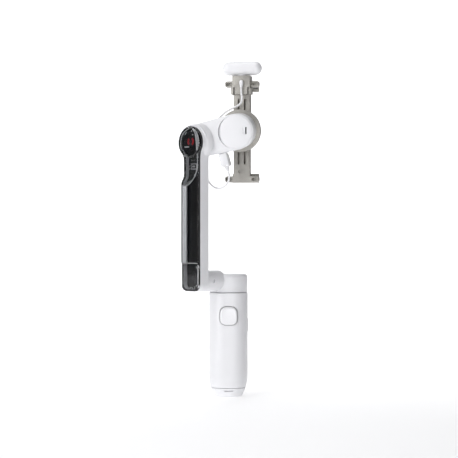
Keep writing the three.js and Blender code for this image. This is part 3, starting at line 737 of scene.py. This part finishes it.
def wheel_circle(r, z):
    """One circle of the dial; those on its rim are notched."""
    on_rim = r > 9.25 and z > 16.5
    points = []
    for i, a in enumerate(full(WHEEL_SIDES)):
        reach = r - KNURL_DEPTH if on_rim and i % 6 in (0, 1) else r
        points.append(Vector((reach * math.cos(a), reach * math.sin(a), z)))
    return points


wheel_bm = skin([wheel_circle(r, z) for r, z in WHEEL_PROFILE], closed=True)
piece("wheel_dial", moved(wheel_bm, 0, WHEEL_Z, 0), REAR, "wheel", "white", "wheel_ring",
      sharp=60)
button_profile = [(0, 16.9), (5.15, 16.9), (5.3, 17.05), (5.3, 18.3), (5.2, 18.62), (4.9, 18.82), (4.3, 18.9),
                  (3.2, 18.78), (1.6, 18.62), (0, 18.58)]
piece("record_button", moved(lathe(button_profile), 0, WHEEL_Z, 0), REAR, "wheel_button", "red",
      "wheel_button")
mode_profile = [(0, 16.4), (2.9, 16.4), (3.0, 16.5), (3.0, 17.75), (2.9, 18.05), (2.6, 18.22), (2.0, 18.3),
                (0, 18.24)]
piece("mode_key", moved(lathe(mode_profile, 72), 0, MODE_Z, 0), REAR, "mode_button", "white",
      "mode_button")
power_bm = prism(rounded_rect(1.8, 5.6, 1.7, 3, PANEL_Z), 13.2, 17, 0.1, 0.45)
piece("power_key", power_bm, SIDE, "power_button", "white", "power_button")

port = cut(prism(rounded_rect(1.7, 4.5, 1.6, 2, PORT_Z), 10.4, 15.9, 0, 0.12),
           prism(rounded_rect(1.3, 4.1, 1.2, 2, PORT_Z), 11.4, 17))
port = union(port, block((1.65, PORT_Z - 3.1, 11.3), (2.35, PORT_Z + 3.1, 15.0)))
piece("usb_socket", port, SIDE, "handle", "steel", "charge_port")

foot = cut(
    skin([grip_ring(z, inset) for z, inset in (
        (0, 1.3), (0.05, 1.0), (0.2, 0.68), (0.45, 0.36), (0.8, 0.14), (1.3, 0.02), (2, 0), (3.2, 0),
        (4.4, 0), (5.6, 0), (6.6, 0), (7.3, 0), (7.52, 0.08), (7.6, 0.28))]),
    carried(prism(rounded_rect(3.8, 0.5, 0.45, 0.4, 5.4), 13, 20), FRONT, BASE),
)
piece("foot_cap", foot, BASE, "tripod", "white", "tripod_base")

# ---------------------------------------------------------------- pan housing and fold lug

cup_shoulder = [(13.3 + 3 * math.cos(t), 100.3 + 3 * math.sin(t)) for t in quarter(10)]
cup_profile = [(0, 87.9), (15.9, 87.9), (16.2, 88.0), (16.3, 88.3), *cup_shoulder, (0, 103.3)]
cup = lathe([Vector(p) for p in cup_profile], 128)
lug_profile = [(0, 12.5), (8.8, 12.5), (8.8, 32.2), (8.7, 32.75), (8.35, 33.1), (7.8, 33.2), (0, 33.2)]
collar = union(cup, carried(moved(lathe(lug_profile), 0, FOLD_Z, 0), ARM, BASE))
screw_bore = moved(disc(1.75, 7.2, 10, sides=48), 0, 98.2, 26.2, turn=turned(90, "Y"))
pin_bore = moved(disc(3.3, 20, 34.2, sides=64), 0, FOLD_Z, 0)
collar = cut(collar, disc(14.5, 86, 100), carried(pin_bore, ARM, BASE), carried(screw_bore, ARM, BASE))
piece("pan_collar", collar, BASE, "pan", "white", "pan_housing", sharp=28)
pin_profile = [(0, 20.4), (3, 20.4), (3, 35.7), (5.1, 35.7), (5.2, 35.85), (5.2, 37.6), (5.05, 37.8),
               (1.6, 37.8), (1.4, 37.0), (0, 37.0)]
piece("hinge_pin", moved(lathe(pin_profile, 64), 0, FOLD_Z, 0), ARM, "pan", "steel", "fold_pin")

# ---------------------------------------------------------------- arm

CASING_RIM = 43.7
bar = prism(arm_outline(), 33.5, CASING_RIM, 0.9, 0.12)
motor = moved(lathe([(0, 33.5), (14.6, 33.5), (14.88, 33.62), (15, 33.9), (15, 38.3), (14.8, 38.8),
                     (13.9, 40.2), (13.4, 41.5), (0, 41.5)]), 0, EYE_Z, 0)
boss = carried(disc(14.2, -8, 1), TILT, ARM)
casing = cut(
    union(bar, motor, boss),
    prism(arm_outline(1.8), 35.3, CASING_RIM + 1),
    carried(disc(3.2, -9, 3, sides=48), TILT, ARM),
    moved(disc(3.3, 32.5, 36.3, sides=48), 0, FOLD_Z, 0),
    carried(disc(22, -18, -6.6), TILT, ARM),
)
piece("arm_shell", casing, ARM, "arm", "white", "arm_casing", sharp=25)

dome_edge = [(11.35 + 1.37 * math.cos(t), 45.88 + 1.37 * math.sin(t)) for t in quarter(7)[1:]]
dome_profile = [(0, 43.9), (12.72, 43.9), (12.72, 45.88), *dome_edge, (0, 47.25)]
cover_plate = union(prism(arm_outline(0.45), CASING_RIM + GAP, 45.8, 0.1, 0.6, 6),
                    moved(lathe(dome_profile), 0, EYE_Z, 0))
cover_plate = cut(cover_plate, block((-30, 60, 38), (30, CAP_TOP, 50)))
piece("arm_window", cover_plate, ARM, "arm", "clear", "arm_cover", sharp=40)

cap_plate = cut(prism(arm_outline(-0.35, 89.95), CASING_RIM + GAP, 46.1, 0.1, 1.4, 6),
                block((-30, 112.8, 38), (30, 240, 50)),
                *[moved(disc(1.3, CASING_RIM, 49, sides=32), TIP_SCREW_U, v, 0) for v in TIP_SCREW_HEIGHTS])
piece("arm_tip", cap_plate, ARM, "arm", "clear", "arm_end_cap", sharp=40)

# the sunk window of the dark tray: the eye, the neck and the ramp below it
S_CURVE = [(-8.1, 176.2), (-4.6, 177.3), (-1.2, 179.4), (2.3, 182.7), (5.2, 187.4), (6.7, 191.8), (7.1, 197),
           (7.15, 205), (6.5, 214), (5.0, 220.4), (2.6, 223.4)]
s_line = [p.to_2d() for p in spline([(*p, 0) for p in S_CURVE], 5)]
NECK_EDGE = [(-6.2, 202.6), (-5.3, 200.5), (-5.1, 197), (-5.1, 187), (-5.5, 184), (-7.2, 181), (-8.1, 178.4)]
neck_line = [p.to_2d() for p in spline([(*p, 0) for p in NECK_EDGE], 4)]
window = s_line + arc(0, EYE_Z, 11.1, 84, 232, 30) + neck_line
BAR_SECTION = [(-8.1, 39.4), (-5.3, 39.6), (-2.9, 39.8), (-2.5, 42.3), (-2.1, 42.75), (-1.3, 42.7),
               (0.6, 42.3), (2.6, 42.05), (4.6, 41.9), (6.5, 41.85), (8.1, 41.85)]
section = [(-8.1, 38.6)] + BAR_SECTION + [(8.1, 38.6)]
soft_section = fillet(section, 0.6, 3)[1:-1] + [section[-1], section[0]]
bar_body = skin([[Vector((u, v, height)) for u, height in soft_section] for v in (91.8, 203.0)])
eye_profile = [(0, 38.6), (11.25, 38.6), (11.25, 42.6), (10.9, 43.2), (10.2, 43.4), (0, 43.4)]
eye_body = moved(lathe(eye_profile), 0, EYE_Z, 0)
tray = combine("INTERSECT", union(bar_body, eye_body), prism(arm_outline(2.1), 39.3, 43.4))
tray = cut(tray, prism(window, 40.3, 46),
           prism(rounded_rect(1.25, 4.2, 1.2, -2.3, 163), 41.0, 46),
           prism(rounded_rect(1.0, 2.2, 0.95, -2.6, 172.4), 41.0, 46))
piece("arm_tray", tray, ARM, "arm", "liner", "arm_liner", sharp=25)
# painted highlight and painted reflection: bright tubes along the S-curve and round the eye stand in for
# light caught on the cover's edges
s_curve_highlight = [Vector((p.x, p.y, 43.15 if p.y < 200 else 43.45)) for p in s_line]
eye_edge_reflection = [Vector((11.4 * math.cos(a), EYE_Z + 11.4 * math.sin(a), 43.5))
           for a in (math.radians(100 + 135 * i / 30) for i in range(31))]
piece("window_rim_highlight", weld(tube(s_curve_highlight, 0.4, 12), tube(eye_edge_reflection, 0.2, 10)), ARM, "arm", "rim")
# painted highlight: a grey sheet between the S-curve and the eye's edge stands in for a pale band of light
# there
crescent_highlight = [p for p in s_line if 203 < p.y < 221] + arc(0, EYE_Z, 10.9, 50, -42, 20)
piece("eye_crescent_highlight", prism(crescent_highlight[::-1], 43.42, 43.6), ARM, "arm", "grey")

# gasket and frame on the casing's rim, the pale ledge beside the tray, and painted glints in the end cap
gasket = cut(prism(arm_outline(0.05), 43.72, 43.94), prism(arm_outline(1.75), 43, 45),
             block((-9.75, 113.2, 43), (-6, 177.5, 45)))
cover_frame = cut(prism(arm_outline(), 43.8, 45.7), prism(arm_outline(0.38), 43, 47),
                  block((-30, 60, 38), (30, CAP_TOP, 50)))
piece("rim_gasket", weld(gasket, cover_frame), ARM, "arm", "black", sharp=30)
LEDGE_SECTION = [(-9.65, 43.74), (-8.47, 43.73), (-8.4, 43.4), (-5.45, 43.2), (-5.45, 43.5), (-8.2, 43.78),
                 (-8.45, 43.6), (-8.7, 43.84), (-9.65, 43.94)]
ledge = skin([[Vector((u, v, height)) for u, height in LEDGE_SECTION] for v in (113.5, 176.6)])
piece("side_ledge", ledge, ARM, "arm", "ledge", sharp=30)
# painted highlights and glints: bright tubes along the seam above the cap, up its right edge and as small
# bits at its foot
seam_highlight = [Vector((u, 112.95, 45.86)) for u in (-8.9, -4, 0, 4, 8.9)]
edge_highlight = [Vector((9.1, v, 45.3)) for v in (95.5, 100, 106, 111.4)]
clip_glints = [tube([Vector((u, 91.6 + abs(u) * 0.12, 43.3)), Vector((u + du, 93.2 + abs(u) * 0.1, 44.0))], 0.3, 10)
         for u, du in ((-6.2, 0.8), (-3.4, -0.5), (-1.2, 0.9), (2.0, -0.8), (4.4, 0.6))]
glints = weld(tube(seam_highlight, 0.22, 10), tube(edge_highlight, 0.24, 10), *clip_glints)
piece("cap_glints", glints, ARM, "arm", "rim")

# grey ramp at the foot of the window
ramp_foot = [p for p in s_line if p.x < 2.0]


def ramp_row(f):
    """The foot line carried a share f of the way up the ramp, which sinks and narrows as it climbs."""
    row = []
    for p in ramp_foot:
        drift = 1.4 * f if p.x < -5 else 0.6 * f * (p.x + 8) / 8
        climb = 5.4 * f * (1 - 0.35 * (p.x + 8) / 10)
        row.append(Vector((p.x + 0.15 + drift, p.y + 0.2 + climb, 43.0 - 2.6 * f ** 0.8)))
    return row


ramp_bm = bmesh.new()
grid = [[ramp_bm.verts.new(p) for p in ramp_row(k / 8)] for k in range(9)]
for a, b in zip(grid, grid[1:]):
    for i in range(len(a) - 1):
        ramp_bm.faces.new((a[i], a[i + 1], b[i + 1], b[i]))
# the faces have no normals yet, so this doubles the sheet in place and gives it no thickness
bmesh.ops.solidify(ramp_bm, geom=ramp_bm.faces[:] + ramp_bm.edges[:] + ramp_bm.verts[:], thickness=0.3)
piece("window_ramp", ramp_bm, ARM, "arm", "grey")

# board in the neck with its parts
CHIPS = [  # left, low, right, high, top, look
    (-1.6, 190.4, 4.6, 195.4, 41.9, "grey"), (-0.9, 191.2, 3.9, 194.6, 42.1, "black"),
    (-0.1, 192.2, 3.0, 193.6, 42.2, "grey"), (-4.3, 185.6, -2.0, 188.2, 41.6, "black"),
    (1.2, 184.6, 3.0, 186.4, 41.5, "grey"), (3.6, 187.6, 5.0, 189.4, 41.6, "black"),
    (-4.2, 196.4, -2.8, 199.6, 41.5, "black"), (-2.0, 198.0, -0.8, 198.6, 41.3, "steel"),
    (0.6, 198.0, 1.8, 198.6, 41.3, "steel"), (3.4, 197.2, 4.6, 200.2, 41.5, "black"),
    (-4.2, 190.4, -3.4, 191.6, 41.3, "grey"), (-4.2, 192.6, -3.4, 193.8, 41.3, "grey"),
]
board_outline = offset(window, 0.25)
board = prism([p for p in board_outline if p.y < 203.2], 40.35, 40.95)
piece("arm_circuit", board, ARM, "arm", "board", "arm_board", sharp=20)
for look in ("grey", "black", "steel"):
    parts = [block((l, b, 40.9), (r, t, top), 0.1, 2) for l, b, r, t, top, kind in CHIPS if kind == look]
    piece(f"circuit_parts_{look}", weld(*parts), ARM, "arm", look)

# motor seen through the eye: red coils on a ribbed black plate
coil_bars = [tube([Vector((*p, 43.0)) for p in arc(0, 0, r, start, start + sweep_angle, 12)], 0.3, 10)
             for start, sweep_angle in ((-56, 112), (130, 100)) for r in (2.3, 2.85, 3.4)]
piece("eye_coils", moved(weld(*coil_bars), -0.3, EYE_Z + 0.8, 0), ARM, "arm", "coil", "tilt_coil",
      sharp=50)
plate = union(disc(10.6, 40.6, 42.1, 0.1), ring(10.5, 9.0, 42.0, 42.9), ring(6.6, 5.6, 42.0, 42.6),
              disc(1.5, 42.0, 42.9, 0.2))
plate = union(plate, *[moved(block((5.0, -1.0, 42.0), (9.2, 1.0, 42.5), 0.12), 0, 0, 0, turn=turned(a, "Z"))
                       for a in (20, 70, 112, 165, 215, 300)])
piece("eye_plate", moved(plate, 0, EYE_Z, 0), ARM, "arm", "black", sharp=30)
marks = [block((-7.3, -3.95, 42.2), (-2.6, -3.0, 43.3), 0.08, 2),
         moved(block((-1.3, -0.25, 42.2), (1.3, 0.25, 43.1), 0.08, 2), -5.9, 7.6, 0, turn=turned(52, "Z")),
         moved(disc(0.5, 42.2, 43.1, 0.08, 20), 0.6, 9.3, 0),
         moved(disc(0.45, 42.2, 43.1, 0.08, 20), 1.7, 6.3, 0)]
piece("eye_marks", moved(weld(*marks), 0, EYE_Z, 0), ARM, "arm", "rim")

SCREW_PROFILE = [(0, 44.0), (0.9, 44.0), (0.9, 45.2), (0.75, 45.4), (0.35, 45.4), (0.3, 45.1), (0, 45.1)]
for number, v in enumerate(TIP_SCREW_HEIGHTS, 1):
    screw = moved(lathe(SCREW_PROFILE, 32), TIP_SCREW_U, v, 0)
    piece(f"tip_screw_{number}", screw, ARM, "arm", "steel", f"arm_screw_{number}")

# ---------------------------------------------------------------- link

LID_RADIUS = 14.2
LID_DROP = -1.9


def ring_points(where, radius, z, rise=0, sides=96):
    return [CLAMP.inverted() @ (where @ Vector((radius * math.cos(a), rise + radius * math.sin(a), z)))
            for a in full(sides)]


def hull(points):
    bm = bmesh.new()
    for p in points:
        bm.verts.new(p)
    bmesh.ops.convex_hull(bm, input=bm.verts)
    loose = [v for v in bm.verts if not v.link_faces]
    bmesh.ops.delete(bm, geom=loose, context="VERTS")
    return bm


front_edge = [(15.0 - 0.5 * (1 - math.cos(t)), 25.5 + 0.5 * math.sin(t)) for t in quarter(5)]
body_hull = hull([*ring_points(TILT, 14.0, -6.9), *ring_points(TILT, 14.2, -7.2),
                  *ring_points(TILT, 14.2, -9.0),
                  *ring_points(CLAMP, 14.6, 10.3), *ring_points(CLAMP, 14.7, 10.5),
                  *[p for radius, z in front_edge for p in ring_points(CLAMP, radius, z, LID_DROP)]])
barrel = union(body_hull, carried(block((-4.2, -0.8, -6), (4.2, 4, 6), 0.8), PLUG, CLAMP))
link = cut(
    barrel,
    moved(disc(LID_RADIUS + 0.05, 24.72, 40), 0, LID_DROP, 0), disc(12.6, 9.3, 19),
    moved(disc(13, 23.4, 40), 0, LID_DROP, 0),
    carried(disc(12, -12.5, -5.9), TILT, CLAMP), carried(disc(3.1, -17, -5.9, sides=48), TILT, CLAMP),
)
piece("link_shell", link, CLAMP, "link", "white", "link_housing", sharp=30)

# the lid crowns softly towards its edge and carries a scooped finger notch
crown = [(LID_RADIUS * math.sin(t), 26.0 + 1.6 * math.cos(t) ** 0.6) for t in quarter(24)[1:-1]]
lid_profile = [(0, 25), (LID_RADIUS - 0.15, 25), (LID_RADIUS, 25.15), (LID_RADIUS, 26.0), *reversed(crown),
               (0, 27.6)]
scoop = prism(rounded_rect(1.8, 3.6, 1.7, 8.1, 0.9), 26.9, 28.6)
slit = prism(rounded_rect(0.62, 3.1, 0.6, 8.9, 0.9), 25.05, 28.6)
lid_bm = moved(cut(lathe(lid_profile), scoop, slit), 0, LID_DROP, 0)
piece("mirror_flap", lid_bm, CLAMP, "lid", "white", "mirror_lid")
# painted shade: a black block at the bottom of the slit makes the finger notch read dark
notch_shade_insert = moved(prism(rounded_rect(0.55, 3.0, 0.53, 8.9, 0.9), 25.06, 25.6), 0, LID_DROP, 0)
piece("notch_shade_insert", notch_shade_insert, CLAMP, "lid", "black")
mirror_bm = moved(disc(12.7, 23.7, 24.6, 0.2), 0, LID_DROP, 0)
piece("mirror_disc", mirror_bm, CLAMP, "link", "mirror", "mirror")

# ---------------------------------------------------------------- clamp

disc_profile = [(0, 6.3), (17.6, 6.3), (17.9, 6.6), (17.9, 9.3), (17.75, 9.75), (17.3, 10), (2.7, 10),
                (2.7, 18.4), (0, 18.4)]
piece("roll_plate", lathe(disc_profile), CLAMP, "clamp", "taupe", "roll_disc")

STRIP_HALF = 7.0
JAW_HALF = 14.5
PLATE_HALF = 11.4
JAW_THICKNESS = 5.2
UPPER_JAW = 37.3
LOWER_JAW = -37.6


def slots(low, high):
    half, middle = (high - low) / 2, (high + low) / 2
    return [prism(rounded_rect(0.85, half, 0.8, x, middle), -4.4, 2) for x in (-2.65, 2.65)]


back = union(disc(15, -6.5, 6, 0.4), block((-STRIP_HALF, 10, -6.5), (STRIP_HALF, UPPER_JAW - GAP, 0), 0.35))
back = cut(back, block((-STRIP_HALF - GAP, -20, -5.5), (STRIP_HALF + GAP, 12, 0.3)), *slots(15.5, 27.4))
piece("clamp_back", back, CLAMP, "clamp", "taupe", "clamp_frame")


def jaw(inner, away, extra=()):
    """A bar with round, hollowed ends across the strip, a plate over the phone's edge and a lip before it."""
    outer, plate = inner + away * JAW_THICKNESS, inner + away * 1.35
    middle = (inner + outer) / 2

    def across(half, a, b, low, high):
        return block((-half, min(a, b), low), (half, max(a, b), high), 0.4)

    bar = prism(rounded_rect(JAW_HALF, JAW_THICKNESS / 2, 1.9, 0, middle), -5.2, 0, 0.3, 0.5)
    hollows = [prism(rounded_rect(2.6, 1.3, 1.1, side * 11.1, middle), -3.6, 2) for side in (-1, 1)]
    solid = union(bar, across(PLATE_HALF, plate, outer, -17.5, -5.0),
                  across(PLATE_HALF, inner - away * 2.6, outer, -19.5, -17.5), *extra)
    return cut(solid, *hollows)


piece("jaw_upper", jaw(UPPER_JAW, 1), CLAMP, "clamp", "taupe", "upper_jaw")
lower = jaw(LOWER_JAW, -1, [block((-STRIP_HALF, LOWER_JAW - 1, -5.2), (STRIP_HALF, -6, 0), 0.35)])
lower = cut(lower, prism(rounded_rect(3, 1.4, 1.3, 0, -33.6), -1.2, 2), *slots(-27.8, -9.5))
piece("jaw_lower", lower, CLAMP, "lower_jaw", "taupe", "lower_jaw")
# the spring between the clamp and the sliding jaw, copied as it stands
spring = piece("clamp_spring_detail", node_copy("clamp_spring"), BASE, None, "steel", "clamp_spring",
               sharp=50)
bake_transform(spring)


def pad(inner, away):
    outer, half = inner + away * 1.05, PLATE_HALF - 0.8
    return block((-half, min(inner, outer), -17.2), (half, max(inner, outer), -6.8), 0.2)


piece("pad_upper", pad(UPPER_JAW, 1), CLAMP, "clamp", "rubber", "upper_pad")
piece("pad_lower", pad(LOWER_JAW, -1), CLAMP, "lower_jaw", "rubber", "lower_pad")

BRACKET_HALF = 7.6
BRACKET_TOP = 46.8
BRIDGE_FOOT = UPPER_JAW + JAW_THICKNESS + GAP


def both_sides(near, far, low, high, soft=0.0):
    """A block from near to far out from the middle, and its mirror image."""
    return [block((min(s * near, s * far), *low), (max(s * near, s * far), *high), soft) for s in (-1, 1)]


bracket = union(block((-BRACKET_HALF, 31, GAP), (BRACKET_HALF, BRACKET_TOP, 3), 0.3),
                block((-BRACKET_HALF, BRIDGE_FOOT, -8), (BRACKET_HALF, BRACKET_TOP, 3), 0.3))
bracket = cut(bracket, *both_sides(5.4, 6.6, (30, -1), (37.2, 4)))
bracket = union(bracket, *both_sides(7.3, 8.7, (31, -4.5), (36.5, 2.4), 0.25))
piece("module_bracket", bracket, CLAMP, "clamp", "taupe", "tracker_bracket")

# ---------------------------------------------------------------- tracking module

MODULE_V = 53.2
MODULE_HALF = 11.0
MODULE_RADIUS = 5.8


def capsule(radius, half):
    """A pill across the clamp."""
    profile = [(radius * math.sin(t), -half - radius * math.cos(t)) for t in quarter(14)]
    profile += [(r, -z) for r, z in reversed(profile)]
    return moved(lathe(profile, 72), 0, MODULE_V, -2.5, turn=turned(90, "Y"))


module_bm = cut(capsule(MODULE_RADIUS, MODULE_HALF),
                prism(rounded_rect(10, 2.8, 2.6, 0, MODULE_V), -10, -6.6))
piece("module_body", module_bm, CLAMP, "clamp", "gloss", "tracker_body")
piece("module_window", prism(rounded_rect(9.7, 2.5, 2.3, 0, MODULE_V), -7.8, -6.9, 0.15, 0), CLAMP, "clamp",
      "black_glass", "tracker_window")
foot_oval = prism(oval(4.3, 3, 2, sides=64), -0.8, 0.8, 0.15, 0.15)
foot_bm = moved(foot_oval, 0, 47.9, -2.5, turn=turned(-90, "X"))
foot_bm = cut(foot_bm, capsule(MODULE_RADIUS + 0.1, MODULE_HALF))
piece("module_foot", foot_bm, CLAMP, "clamp", "white", "tracker_pedestal")

# ---------------------------------------------------------------- floor, remaining nodes, end

sweep = Shader("studio_sweep", Roughness=0.7)
sweep.colour(sweep.ramp(sweep.noise(30, 2), [(0.3, (0.93, 0.93, 0.935)), (0.7, (0.95, 0.95, 0.955))]))
position = sweep.node("ShaderNodeSeparateXYZ")
sweep.link(sweep.coordinates, position.inputs["Vector"])
glow = sweep.node("ShaderNodeMapRange", interpolation_type="SMOOTHSTEP")
sweep.link(position.outputs["Y"], glow.inputs["Value"])
glow.inputs["From Min"].default_value, glow.inputs["From Max"].default_value = -0.25, 0.7
glow.inputs["To Min"].default_value, glow.inputs["To Max"].default_value = 0.26, 0.9
# beside the view, on the right, the glow fades so that right-hand sides stay shaded
beside = sweep.node("ShaderNodeMapRange", interpolation_type="SMOOTHSTEP")
sweep.link(position.outputs["X"], beside.inputs["Value"])
beside.inputs["From Min"].default_value, beside.inputs["From Max"].default_value = 0.62, 1.0
beside.inputs["To Min"].default_value, beside.inputs["To Max"].default_value = 1.0, 0.08
strength = sweep.node("ShaderNodeMath", operation="MULTIPLY")
sweep.link(glow.outputs["Result"], strength.inputs[0])
sweep.link(beside.outputs["Result"], strength.inputs[1])
sweep.shader.inputs["Emission Color"].default_value = (1, 1, 1, 1)
sweep.link(strength.outputs["Value"], sweep.shader.inputs["Emission Strength"])
floor_curve = [(1.6 + 1.0 * math.sin(t), 1.0 - 1.0 * math.cos(t)) for t in quarter(16)[1:]]
floor_points = [(-2.4, 0.0), (1.6, 0.0), *floor_curve, (2.6, 3.0)]
floor_bm = bmesh.new()
columns = [[floor_bm.verts.new((x, y, z - 0.0002)) for y, z in floor_points] for x in (-3.5, 3.5)]
for k in range(len(floor_points) - 1):
    floor_bm.faces.new((columns[0][k], columns[1][k], columns[1][k + 1], columns[0][k + 1]))
for face in floor_bm.faces:
    face.smooth = True
floor = as_object(floor_bm, "studio_sweep")
floor.data.materials.append(sweep.material)

record_slots = {row["node"]: row["material_slot"] for row in frame["record"]["subparts"]}
body_names = {n: b for b, members in frame["record"]["behaviour"]["bodies"].items() for n in members}
for name, node in nodes.items():
    if node.hide_render:
        continue
    slot = record_slots[name]
    piece(name + "_detail", node_copy(name), BASE, body_names[name], SLOT_LOOK[slot], name, sharp=30)
